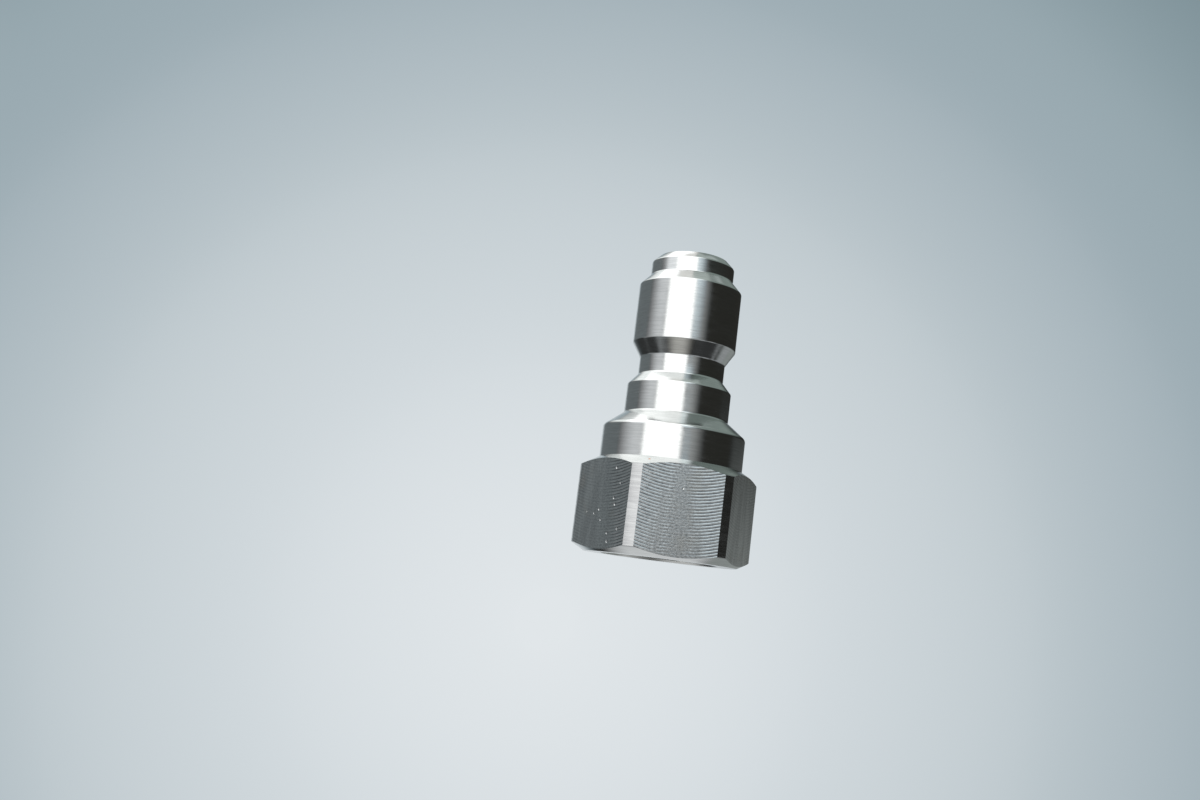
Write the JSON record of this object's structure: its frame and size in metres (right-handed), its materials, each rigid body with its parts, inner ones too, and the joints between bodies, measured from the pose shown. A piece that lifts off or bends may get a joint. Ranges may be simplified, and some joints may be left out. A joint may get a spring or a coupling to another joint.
{
  "type": "quick coupling nipple",
  "caption": "Stainless straight-through quick coupling nipple with a hex end, female pipe thread, stepped collars, ball locking groove, sealing head and open-bored nose.",
  "frame": {"origin": "centre of the hex end's flat face, which the part stands on", "axes": "+Z along the axis from the hex end to the nose, -Y out of the hex flat that faces the front"},
  "size_m": [0.0266, 0.0238, 0.0459],
  "materials": {
    "stainless": "bright turned, with milled hex flats"
  },
  "bodies": {
    "root": {"coupling_nipple": "stainless"}
  },
  "joints": []
}
